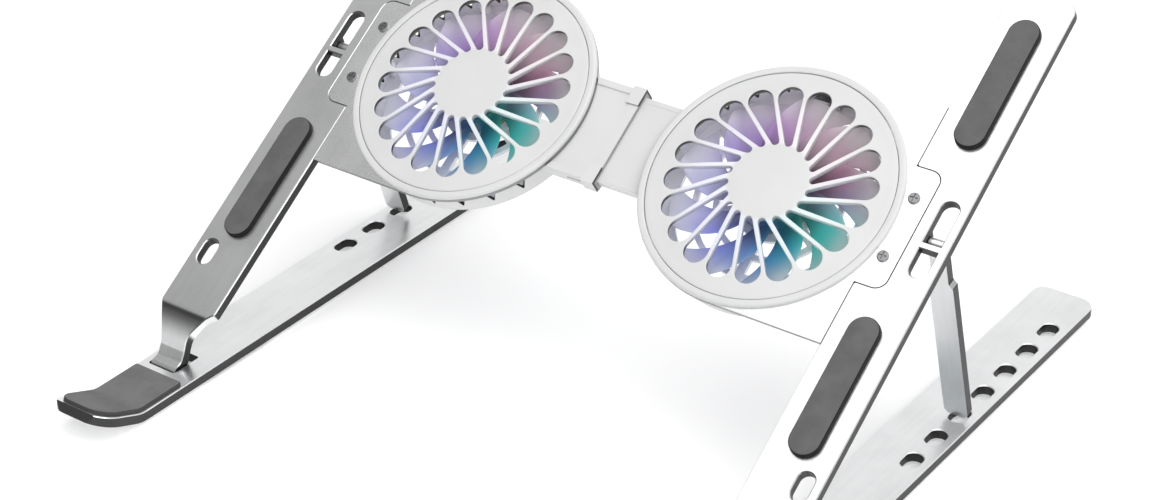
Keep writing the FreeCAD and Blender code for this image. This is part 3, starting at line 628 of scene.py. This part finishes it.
def guard_finish(name, colour):
    """White satin plastic with painted light from the lamps below: spokes take a pale tint of the
    lamp colours. The openings' walls get painted shade round their wide ends, and so does the
    outer wall."""
    material, paint = paint_material(name)
    spark, flow, tone = moulded(paint, colour)
    turn, distance = fan_place(paint)
    # Painted lamp light on the spokes near the hub
    lit = paint.step(distance, *SPOKE_START) * (1 - paint.step(distance, *SPOKE_FADE))
    pale = paint.mix(0.66, lamp_colour(paint, turn), (1.0, 1.0, 1.0))
    tone = paint.mix(lit * 0.9, tone, pale)
    # Painted shade on the openings' walls, deepest round the wide ends, and on the outer wall
    wall = 1 - paint.step(paint.facing(OUT), 0.25, 0.6)
    inside = wall * (1 - paint.step(distance, *OPENINGS_END))
    end = paint.step(distance, *WIDE_END)
    outside = wall * paint.step(distance, *GUARD_WALL)
    tone = paint.mix(inside * (0.10 + end * 0.85) + outside * 0.85, tone, (0.035, 0.035, 0.04))
    moulded_surface(paint, tone, spark, flow, 0.34)
    return material


def housing_finish(name, colour):
    """White plastic; its inside gets painted light in the lamp colours, and the vents' walls get
    painted shade."""
    material, paint = paint_material(name)
    spark, flow, tone = moulded(paint, colour)
    turn, distance = fan_place(paint)
    depth = paint.axis(OUT, FAN_CENTRE)
    # Painted lamp light on the housing's inside
    inner = (1 - paint.step(distance, *HOUSING_INSIDE)) * paint.step(depth, *HOUSING_FLOOR)
    tint = paint.mix(0.86, lamp_colour(paint, turn), (0.95, 0.95, 0.97))
    tone = paint.mix(inner, tone, tint)
    # Painted shade on the vents' walls
    jambs = paint.step(distance, *VENT_INSIDE) * (1 - paint.step(distance, *VENT_OUTSIDE))
    tone = paint.mix(jambs * 0.96, tone, (0.012, 0.012, 0.012))
    moulded_surface(paint, tone, spark, flow, 0.40, 0.000012)
    return material


def wheel_finish(name):
    """Clear plastic with painted lamp light: deep lamp colour at the hub, fading to pale grey at
    the tips, and a painted glow.
    """
    material, paint = paint_material(name)
    turn, distance = fan_place(paint)
    streaks = paint.noise(70, 2.0, 0.5)
    colour = lamp_colour(paint, turn)
    deep = paint.mix(0.60, colour, (0.008, 0.008, 0.018))
    pale = paint.mix(0.66, colour, (0.50, 0.50, 0.50))
    tone = paint.mix(paint.step(distance, *WHEEL_DEEP), deep, colour)
    tone = paint.mix(paint.step(distance + (streaks - 0.5) * 0.006, *WHEEL_PALE), tone, pale)
    fine = paint.noise(900, 1.0)
    # Painted glow: the blades give off their painted lamp colour
    paint.surface(
        base_color=tone, roughness=0.30 + (fine - 0.5) * 0.08, specular_ior_level=0.25,
        coat_weight=0.10, coat_roughness=0.12, emission_color=tone, emission_strength=0.22,
        normal=paint.bump(fine, 0.00001, 0.3))
    return material


def silicone_finish(name, colour, top=OUT, wall=0.06):
    """Matt moulded silicone: stippled top with pale specks, and smoother walls with painted shade,
    darker by a factor."""
    material, paint = paint_material(name)
    stipple = paint.noise(2600, 2.0, 0.6)
    patch = paint.noise(120, 3.0, 0.6)
    up = paint.step(paint.facing(top), 0.78, 0.97)
    light = paint.mix(paint.step(patch, 0.3, 0.7), scaled(colour, 0.88), scaled(colour, 1.08))
    light = paint.mix(paint.step(stipple, 0.45, 0.75) * 0.25, light, scaled(colour, 1.35))
    # Painted shade: faces turned away from the top take the colour times the wall factor
    tone = paint.mix(up, scaled(colour, wall), light)
    paint.surface(
        base_color=tone, roughness=0.74 + (stipple - 0.5) * 0.16 - (1 - up) * 0.15,
        specular_ior_level=0.22,
        normal=paint.bump(stipple, 0.000035, 0.6))
    return material


def small_metal_finish(name, colour, smooth, metallic=1.0):
    """Turned, sintered or stamped metal of the small parts, with fine tool marks."""
    material, paint = paint_material(name)
    marks = paint.noise(900, 2.0, 0.6)
    tone = paint.mix(paint.step(marks, 0.3, 0.7), scaled(colour, 0.8), colour)
    paint.surface(
        base_color=tone, metallic=metallic, roughness=smooth + (marks - 0.5) * 0.2,
        normal=paint.bump(marks, 0.00002, 0.4))
    return material


def board_finish(name, side_colour):
    """White solder mask over a woven board: fine cross weave and a greener cut edge."""
    material, paint = paint_material(name)
    weave = paint.node("TexWave", {"wave_type": "BANDS"},
                       {"Vector": paint.position(), "Scale": 900.0})
    cross = paint.noise(1500, 1.0)
    flat = paint.step(abs(paint.facing(OUT)), 0.7, 0.9)
    tone = paint.mix(flat, side_colour, (0.80, 0.82, 0.78))
    paint.surface(base_color=tone, roughness=0.38 + (cross - 0.5) * 0.15,
                  normal=paint.bump(weave * 0.5 + cross * 0.5, 0.00001, 0.3))
    return material


def coil_finish(name):
    """Enamelled copper wire laid in turns."""
    material, paint = paint_material(name)
    turns = paint.node("TexWave", {"wave_type": "BANDS", "bands_direction": "DIAGONAL"},
                       {"Vector": paint.position(), "Scale": 1400.0, "Distortion": 0.4})
    tone = paint.mix(turns, (0.30, 0.10, 0.03), (0.80, 0.38, 0.17))
    paint.surface(base_color=tone, metallic=0.9, roughness=0.28 + turns * 0.1,
                  normal=paint.bump(turns, 0.00006, 0.8))
    return material


def ribbon_finish(name):
    """Flat foil cable: pale film over parallel tracks."""
    material, paint = paint_material(name)
    tracks = paint.node("TexWave", {"wave_type": "BANDS", "bands_direction": "Y"},
                        {"Vector": paint.stretch((0.0, 1.0, 0.68)), "Scale": 420.0})
    tone = paint.mix(paint.step(tracks, 0.35, 0.65), (0.72, 0.70, 0.64), (0.55, 0.50, 0.42))
    paint.surface(base_color=tone, roughness=0.32 + tracks * 0.06,
                  normal=paint.bump(tracks, 0.00003, 0.5))
    return material


# Operators

class COOLINGPAD_OT_finishes(bpy.types.Operator):
    """Give every carried-over part the finish of its material slot"""

    bl_idname = "coolingpad.finishes"
    bl_label = "Finishes"

    def execute(self, context):
        look = context.scene.coolingpad_finish
        metal = tuple(look.metal)
        plastic = tuple(look.plastic)
        finishes = {
            "aluminium": metal_finish("blasted_aluminium", metal),
            # Painted light: the plates are the arms' aluminium made 1.12 times brighter
            "plate_metal": metal_finish("plate_aluminium", scaled(metal, 1.12), grain=6400,
                                        smooth=0.28, side_shade=0.34, flat=OUT),
            "white_plastic": plastic_finish("white_satin_plastic", plastic),
            "black_plastic": plastic_finish("black_plastic", (0.02, 0.02, 0.021)),
            "steel": small_metal_finish("turned_steel", (0.30, 0.30, 0.31), 0.30),
            "bronze": small_metal_finish("sintered_bronze", (0.50, 0.30, 0.13), 0.45),
            "iron": small_metal_finish("stamped_iron", (0.22, 0.23, 0.25), 0.42),
            "magnet": small_metal_finish("moulded_magnet", (0.05, 0.05, 0.055), 0.6, 0.1),
            "copper": coil_finish("enamelled_wire"),
            "board": board_finish("white_board", (0.25, 0.30, 0.16)),
            "ribbon": ribbon_finish("flat_cable"),
            "arm_silicone": silicone_finish("stippled_arm_silicone", tuple(look.silicone)),
            "hook_silicone": silicone_finish(
                "stippled_hook_silicone", tuple(look.hook_silicone), (0, 0, 1), 0.35),
            "foot_silicone": silicone_finish(
                "stippled_foot_silicone", (0.03, 0.03, 0.03), (0, 0, -1)),
            "rotor_plastic": wheel_finish("lamp_lit_clear_plastic"),
        }
        for part in frame["record"]["subparts"]:
            node = frame["nodes"][part["node"]]
            finish = finishes[part["material_slot"]]
            for place in node.material_slots:
                place.material = finish
        paired = {
            "housing": housing_finish("housing_plastic", plastic),
            "arm": metal_finish("arm_aluminium", metal, flat=OUT, start=ARM_WALLS_START),
            # Painted light: the base arms are the arms' aluminium made 1.16 times brighter
            "base_arm": metal_finish("base_arm_aluminium", scaled(metal, 1.16), flat=(0, 0, 1)),
        }
        single = {f"{side}_{part}": finish for side in SIDES for part, finish in paired.items()}
        # Painted shade on the faces of the clips and the sleeve that look across, to +x
        single["bridge_clips"] = plastic_finish("clip_plastic", plastic, ACROSS, 0.97)
        single["bridge_sleeve"] = plastic_finish("sleeve_plastic", plastic, ACROSS, 0.5)
        for name, finish in single.items():
            for place in frame["nodes"][name].material_slots:
                place.material = finish
        return {"FINISHED"}


class COOLINGPAD_OT_arm_strips(bpy.types.Operator):
    """Build the four silicone strips on the upper arms"""

    bl_idname = "coolingpad.arm_strips"
    bl_label = "Arm strips"

    def execute(self, context):
        sizes = context.scene.coolingpad_strips
        finish = bpy.data.materials["stippled_arm_silicone"]
        for side in SIDES:
            for place in ("front", "rear"):
                node = f"{side}_{place}_pad"
                corners = np.array([v.co for v in frame["nodes"][node].data.vertices])
                flat = (corners - FAN_CENTRE) @ np.stack((ACROSS, ALONG, OUT)).T
                low, high = flat.min(0), flat.max(0)
                outline, normals = capsule_outline(low, high)
                rows = strip_surface(outline, normals, high[2] - low[2], sizes.edge_round,
                                     sizes.crown, sizes.draft)
                rows[..., 2] += low[2]
                build_piece(f"{side}_{place}_strip", [shell(on_plane(rows, FAN_CENTRE))],
                            f"{side}_frame", [node], finish)
        return {"FINISHED"}


class COOLINGPAD_OT_hook_covers(bpy.types.Operator):
    """Build the silicone covers over the base arms' hooked fronts"""

    bl_idname = "coolingpad.hook_covers"
    bl_label = "Hook covers"

    def execute(self, context):
        sizes = context.scene.coolingpad_hook
        corner, angle, radius = sizes.corner, sizes.angle, sizes.bend_radius
        finish = bpy.data.materials["stippled_hook_silicone"]
        for side, sign in SIDES.items():
            low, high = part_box(f"{side}_hook_pad")
            run = high.y - corner[0]
            tip_run = (corner[0] - low.y) / math.cos(angle)
            length = run + tip_run - radius * (2 * math.tan(angle / 2) - angle)
            x = sorted((abs(low.x), abs(high.x)))
            outline, normals = rounded_outline((x[0], 0.0), (x[1], length), HOOK_CORNERS)
            rows = strip_surface(outline, normals, sizes.thickness, *HOOK_SECTION)
            y, z = hook_path(rows[..., 1], rows[..., 2], corner, angle, radius, run)
            points = np.stack((rows[..., 0] * sign, y, z), -1)
            build_piece(f"{side}_hook_cover", [shell(points)], f"{side}_base",
                        [f"{side}_hook_pad"], finish)
        return {"FINISHED"}


class COOLINGPAD_OT_foot_strips(bpy.types.Operator):
    """Build the silicone feet under the base arms"""

    bl_idname = "coolingpad.foot_strips"
    bl_label = "Foot strips"

    def execute(self, context):
        finish = bpy.data.materials["stippled_foot_silicone"]
        for side in SIDES:
            node = frame["nodes"][f"{side}_foot_pads"]
            corners = np.array([v.co for v in node.data.vertices])
            shells = []
            for part in (corners[corners[:, 1] < 0], corners[corners[:, 1] > 0]):
                low, high = part.min(0), part.max(0)
                outline, normals = capsule_outline(low, high)
                rows = strip_surface(outline, normals, high[2] - low[2], *FOOT_SECTION)
                rows[..., 2] = high[2] - rows[..., 2]
                shells.append(shell(rows))
            build_piece(f"{side}_foot_strips", shells, f"{side}_base",
                        [f"{side}_foot_pads"], finish)
        return {"FINISHED"}


def guard_top(r):
    """Height of the guard's upper face: a low dome, 1 + 2 (1 - (r / 40)^2)^1.5 millimetres."""
    return (1.0 + 2.0 * np.clip(1 - (r / GUARD_EDGE) ** 2, 0, 1) ** 1.5) * MM


def guard_under(r):
    """Height of the guard's lower face, falling in two straight runs from the middle."""
    return np.interp(r, (0, 24 * MM, 37.8 * MM), (1.0 * MM, 0.2 * MM, -0.5 * MM))


def petal_outline(sizes, tip_steps, side_steps, root_steps):
    """Opening as two circles and their outer tangents, anticlockwise from the foot of the wide
    arc; gives points in the opening's own frame and normals that point into the plastic."""
    spread = math.asin((sizes.tip_radius - sizes.root_radius) / (sizes.tip - sizes.root))
    quarter = math.pi / 2 + spread
    wide, wide_out = round_corner(
        (sizes.tip, 0), -quarter, quarter, sizes.tip_radius, tip_steps + 1)
    narrow, narrow_out = round_corner(
        (sizes.root, 0), quarter, 2 * math.pi - quarter, sizes.root_radius, root_steps + 1)
    share = np.linspace(0, 1, side_steps + 1)[1:-1, None]
    points = (wide, wide[-1] * (1 - share) + narrow[0] * share, narrow,
              narrow[-1] * (1 - share) + wide[0] * share)
    normals = (wide_out, np.repeat(wide_out[-1:], side_steps - 1, 0), narrow_out,
               np.repeat(wide_out[:1], side_steps - 1, 0))
    return np.concatenate(points), np.concatenate(normals)


def sector_outline(sizes, inner, outer, tip_steps, side_steps, root_steps):
    """Edge of one opening's share of the guard, with the same count of points as the opening:
    an outer arc, a skewed line inwards, an inner arc and a skewed line outwards. The lines keep
    the opening's distance from the axis and are turned by half a share each way."""
    half = math.pi / sizes.petals
    skew = sizes.skew

    def line_angle(radius):
        return -math.asin(skew / radius)

    def line(turn, start, end, steps):
        run = np.linspace(math.sqrt(start ** 2 - skew ** 2), math.sqrt(end ** 2 - skew ** 2), steps)
        flat = np.stack((run, np.full(steps, -skew)), -1)
        spin = np.array(((math.cos(turn), math.sin(turn)), (-math.sin(turn), math.cos(turn))))
        return flat @ spin

    def arc(radius, sweep, steps):
        middle = line_angle(radius)
        return round_corner((0, 0), middle - sweep, middle + sweep, radius, steps + 1)[0]

    outer_arc = arc(outer, half, tip_steps)
    inner_arc = arc(inner, -half, root_steps)
    inwards = line(half, outer, inner, side_steps + 1)[1:-1]
    outwards = line(-half, inner, outer, side_steps + 1)[1:-1]
    return np.concatenate((outer_arc, inwards, inner_arc, outwards))


def guard_shells(sizes):
    """The guard: round each opening a band runs from the lower face up the wall, over a quarter
    round and out to the sector's edge; discs inside and outside the openings are turned."""
    inner, outer = SECTOR_INNER, SECTOR_OUTER
    petal, normals = petal_outline(sizes, *OPENING_STEPS)
    petal = petal + (0, -sizes.skew)
    edge = sector_outline(sizes, inner, outer, *OPENING_STEPS)
    soft = sizes.edge_round
    turn = np.linspace(0, math.pi / 2, 5)
    plan, level = [], []
    for t in (1.0, 0.66, 0.33, 0.0):
        spot = (petal + normals * UNDERCUT) * (1 - t) + edge * t
        plan.append(spot)
        level.append(guard_under(np.hypot(*spot.T)))
    plan.append(petal)
    level.append(guard_under(np.hypot(*petal.T)) + UNDERCUT)
    for a in turn:
        spot = petal + normals * soft * (1 - math.cos(a))
        plan.append(spot)
        level.append(guard_top(np.hypot(*spot.T)) - soft * (1 - math.sin(a)))
    for t in (0.25, 0.5, 0.75, 1.0):
        spot = (petal + normals * soft) * (1 - t) + edge * t
        plan.append(spot)
        level.append(guard_top(np.hypot(*spot.T)))
    band = np.concatenate((np.stack(plan), np.stack(level)[..., None]), -1)
    shells = []
    for k in range(sizes.petals):
        a = 2 * math.pi / sizes.petals * (k + 0.5)
        spin = np.array(((math.cos(a), math.sin(a), 0), (-math.sin(a), math.cos(a), 0), (0, 0, 1)))
        shells.append(shell(band @ spin))

    def ring_angles(radius, steps):
        count = sizes.petals * steps
        return np.arange(count) * 2 * math.pi / count - math.asin(sizes.skew / radius)

    hub_angles = ring_angles(inner, OPENING_STEPS[2])
    rim_angles = ring_angles(outer, OPENING_STEPS[0])
    r = np.linspace(0, inner, 12)
    for face in (guard_top, guard_under):
        shells.append(turned(np.stack((r, face(r)), -1), hub_angles, close_rows=False))
    corner = profile_round(GUARD_ROUND, math.pi / 2, 0, 5) * MM
    rise = np.linspace(outer, GUARD_EDGE, 4)
    profile = np.concatenate((
        np.stack((rise, guard_top(rise)), -1), corner, np.array(GUARD_LIP) * MM,
        ((outer, guard_under(outer)),)))
    shells.append(turned(profile, rim_angles, close_rows=False))
    return shells


class COOLINGPAD_OT_guards(bpy.types.Operator):
    """Build the two swirled fan guards"""

    bl_idname = "coolingpad.guards"
    bl_label = "Fan guards"

    def execute(self, context):
        sizes = context.scene.coolingpad_guard
        finish = guard_finish("lit_guard_plastic", tuple(context.scene.coolingpad_finish.plastic))
        shells = guard_shells(sizes)
        for side, sign in SIDES.items():
            placed = [(on_plane(points, fan_centre(sign)), quads) for points, quads in shells]
            build_piece(f"{side}_guard", placed, f"{side}_frame",
                        [f"{side}_grille"], finish, GUARD_SHARP)
        return {"FINISHED"}


class COOLINGPAD_OT_rims(bpy.types.Operator):
    """Build the raised rims round the guards"""

    bl_idname = "coolingpad.rims"
    bl_label = "Fan rims"

    def execute(self, context):
        profile = np.concatenate((
            (RIM_INSIDE,),
            profile_round(RIM_INNER_ROUND, math.pi, math.pi / 2, 6),
            profile_round(RIM_OUTER_ROUND, math.pi / 2, 0, 8),
            (RIM_OUTSIDE,),
        )) * MM
        angles = np.linspace(0, 2 * math.pi, RING_STEPS, endpoint=False)
        points, quads = turned(profile, angles)
        finish = bpy.data.materials["white_satin_plastic"]
        for side, sign in SIDES.items():
            build_piece(f"{side}_rim", [(on_plane(points, fan_centre(sign)), quads)],
                        f"{side}_frame", [f"{side}_fan_rim"], finish)
        return {"FINISHED"}


def blade_surface(sizes, k):
    """One swept blade. At radius r, across its chord c from -1 to 1, the angle is
    sweep s^1.15 + c half(s), where s runs from 0 at the hub to 1 at the tip, and the height is
    -5.6 + 2.45 sin(c 1.25) / sin(1.25) millimetres, less a shallow camber; the two faces stand
    off it by half the thickness times (1 - c^4)^0.5. The first and last rows close the ends."""
    spans = np.concatenate(([0.0], np.linspace(0, 1, SPAN_STEPS), [1.0]))
    thick = np.concatenate(([0.0], np.ones(SPAN_STEPS), [0.0]))
    c = np.cos(np.linspace(0, math.pi, CHORD_STEPS))
    chord = np.concatenate((c, c[-2:0:-1]))
    face = np.concatenate((np.ones(CHORD_STEPS), -np.ones(CHORD_STEPS - 2)))
    s, c = np.meshgrid(spans, chord, indexing="ij")
    r = sizes.hub_radius - ROOT_DEPTH + s * (sizes.tip_radius - sizes.hub_radius + ROOT_DEPTH)
    half = np.radians(np.interp(s, HALF_CHORD_SHARES, HALF_CHORDS))
    angle = sizes.sweep * s ** SWEEP_POWER + c * half + 2 * math.pi / sizes.blades * k
    rise = BLADE_RISE * np.sin(BLADE_CURVE * c) / math.sin(BLADE_CURVE)
    z = BLADE_HEIGHT + rise - BLADE_CAMBER * (1 - c ** 2)
    stand = sizes.thickness / 2 * thick[:, None] * np.sqrt(np.clip(1 - c ** 4, 0, 1)) * face
    return np.stack((r * np.cos(angle), r * np.sin(angle), z * MM + stand), -1)


class COOLINGPAD_OT_wheels(bpy.types.Operator):
    """Build the two fan wheels with painted lamp light"""

    bl_idname = "coolingpad.wheels"
    bl_label = "Fan wheels"

    def execute(self, context):
        sizes = context.scene.coolingpad_wheel
        hub = sizes.hub_radius / MM
        edge = ((hub - HUB_ROUND, HUB_ROUND_HEIGHT), HUB_ROUND)
        profile = np.concatenate((
            HUB_COLLAR,
            ((hub * 0.5, HUB_TOP),),
            profile_round(edge, math.pi / 2, 0, 6),
            ((hub, HUB_FOOT), (hub - HUB_CHAMFER, HUB_INSIDE[0][1])),
            HUB_INSIDE,
        )) * MM
        shells = [turned(profile, np.linspace(0, 2 * math.pi, HUB_STEPS, endpoint=False))]
        shells += [shell(blade_surface(sizes, k)) for k in range(sizes.blades)]
        finish = bpy.data.materials["lamp_lit_clear_plastic"]
        for side, sign in SIDES.items():
            placed = [(on_plane(points, fan_centre(sign)), quads) for points, quads in shells]
            build_piece(f"{side}_fan_wheel", placed, f"{side}_wheel",
                        [f"{side}_rotor"], finish)
        return {"FINISHED"}


class COOLINGPAD_OT_stage(bpy.types.Operator):
    """Make the floor, the soft lights, the surroundings and the camera"""

    bl_idname = "coolingpad.stage"
    bl_label = "Stage"

    def execute(self, context):
        settings = context.scene.coolingpad_stage
        scene = context.scene
        self.make_floor()
        self.make_surroundings(scene)
        self.make_light("overhead_light", *OVERHEAD_LIGHT, settings.key_power)
        self.make_light("front_light", *FRONT_LIGHT, settings.fill_power)
        self.make_camera(scene, settings.lens)
        scene.view_settings.view_transform = "Standard"
        return {"FINISHED"}

    def make_floor(self):
        """Square floor, 8 m a side, as a grid of points at height 0."""
        row = FLOOR_CELLS + 1
        run = np.linspace(-FLOOR_HALF, FLOOR_HALF, row)
        x, y = np.meshgrid(run, run)
        points = np.stack((x, y, np.zeros_like(x)), -1).reshape(-1, 3)
        r, c = np.meshgrid(np.arange(FLOOR_CELLS), np.arange(FLOOR_CELLS), indexing="ij")
        first = (r * row + c).reshape(-1)
        quads = np.stack((first, first + 1, first + row + 1, first + row), -1)
        mesh = bpy.data.meshes.new("floor")
        mesh.from_pydata(points.tolist(), [], quads.tolist())
        floor = bpy.data.objects.new("floor", mesh)
        bpy.context.scene.collection.objects.link(floor)
        material, paint = paint_material("pale_floor")
        soft = paint.noise(3.0, 2.0)
        tone = paint.mix(soft, (0.93, 0.93, 0.935), (0.95, 0.95, 0.95))
        paint.surface(base_color=tone, roughness=0.85, specular_ior_level=0.2,
                      emission_color=(1, 1, 1, 1), emission_strength=0.16)
        mesh.materials.append(material)

    def make_surroundings(self, scene):
        """Even pale surroundings, brighter behind the object than in front of it."""
        world = bpy.data.worlds.new("surroundings")
        world.use_nodes = True
        paint = Paint(world.node_tree)
        way = paint.node("TexCoord", out="Generated")
        behind = paint.node("VectorMath", {"operation": "DOT_PRODUCT"},
                            {0: way, 1: BRIGHT_WAY}, out="Value")
        level = SKY_DIM + SKY_GAIN * paint.step(behind, -0.05, 0.72)
        sky = paint.node("Background", {}, {"Color": (1.0, 1.0, 1.0, 1.0), "Strength": level})
        paint.node("OutputWorld", {}, {"Surface": sky})
        scene.world = world

    def make_light(self, name, place, target, width, depth, power):
        """Rectangular light at a place, turned to a target."""
        lamp = bpy.data.lights.new(name, "AREA")
        lamp.shape = "RECTANGLE"
        lamp.size = width
        lamp.size_y = depth
        lamp.energy = power
        lamp_object = bpy.data.objects.new(name, lamp)
        bpy.context.scene.collection.objects.link(lamp_object)
        back = np.array(place, float) - np.array(target, float)
        back /= np.linalg.norm(back)
        right = np.cross((0.0, 1.0, 0.0) if abs(back[2]) > 0.9 else (0.0, 0.0, 1.0), back)
        right /= np.linalg.norm(right)
        turn = np.stack((right, np.cross(back, right), back), 1)
        lamp_object.matrix_world = Matrix.Translation(place) @ Matrix(turn.tolist()).to_4x4()

    def make_camera(self, scene, lens):
        """Camera at its place, with its right, up and back axes."""
        camera = bpy.data.objects.new("camera", bpy.data.cameras.new("camera"))
        scene.collection.objects.link(camera)
        camera.data.lens = lens
        camera.data.sensor_width = 36.0
        camera.data.clip_start = 0.01
        turn = Matrix((CAMERA_RIGHT, CAMERA_UP, CAMERA_BACK)).transposed()
        camera.matrix_world = Matrix.Translation(CAMERA_PLACE) @ turn.to_4x4()
        scene.camera = camera


class COOLINGPAD_PT_panel(bpy.types.Panel):
    """Lists the cooling pad's operators"""

    bl_idname = "COOLINGPAD_PT_panel"
    bl_label = "Cooling Pad"
    bl_space_type = "VIEW_3D"
    bl_region_type = "UI"
    bl_category = "Cooling Pad"

    def draw(self, context):
        for operator in OPERATORS:
            self.layout.operator(operator.bl_idname)


SETTINGS = {
    "coolingpad_strips": StripSettings,
    "coolingpad_hook": HookSettings,
    "coolingpad_guard": GuardSettings,
    "coolingpad_wheel": WheelSettings,
    "coolingpad_finish": FinishSettings,
    "coolingpad_stage": StageSettings,
}
OPERATORS = (
    COOLINGPAD_OT_finishes,
    COOLINGPAD_OT_arm_strips,
    COOLINGPAD_OT_hook_covers,
    COOLINGPAD_OT_foot_strips,
    COOLINGPAD_OT_guards,
    COOLINGPAD_OT_rims,
    COOLINGPAD_OT_wheels,
    COOLINGPAD_OT_stage,
)
CLASSES = (*SETTINGS.values(), *OPERATORS, COOLINGPAD_PT_panel)


def register():
    for item in CLASSES:
        bpy.utils.register_class(item)
    for name, settings in SETTINGS.items():
        setattr(bpy.types.Scene, name, PointerProperty(type=settings))


def unregister():
    for name in SETTINGS:
        delattr(bpy.types.Scene, name)
    for item in reversed(CLASSES):
        bpy.utils.unregister_class(item)


def main():
    register()
    bpy.ops.coolingpad.finishes()
    bpy.ops.coolingpad.arm_strips()
    bpy.ops.coolingpad.hook_covers()
    bpy.ops.coolingpad.foot_strips()
    bpy.ops.coolingpad.guards()
    bpy.ops.coolingpad.rims()
    bpy.ops.coolingpad.wheels()
    bpy.ops.coolingpad.stage()


if __name__ == "__main__":
    main()
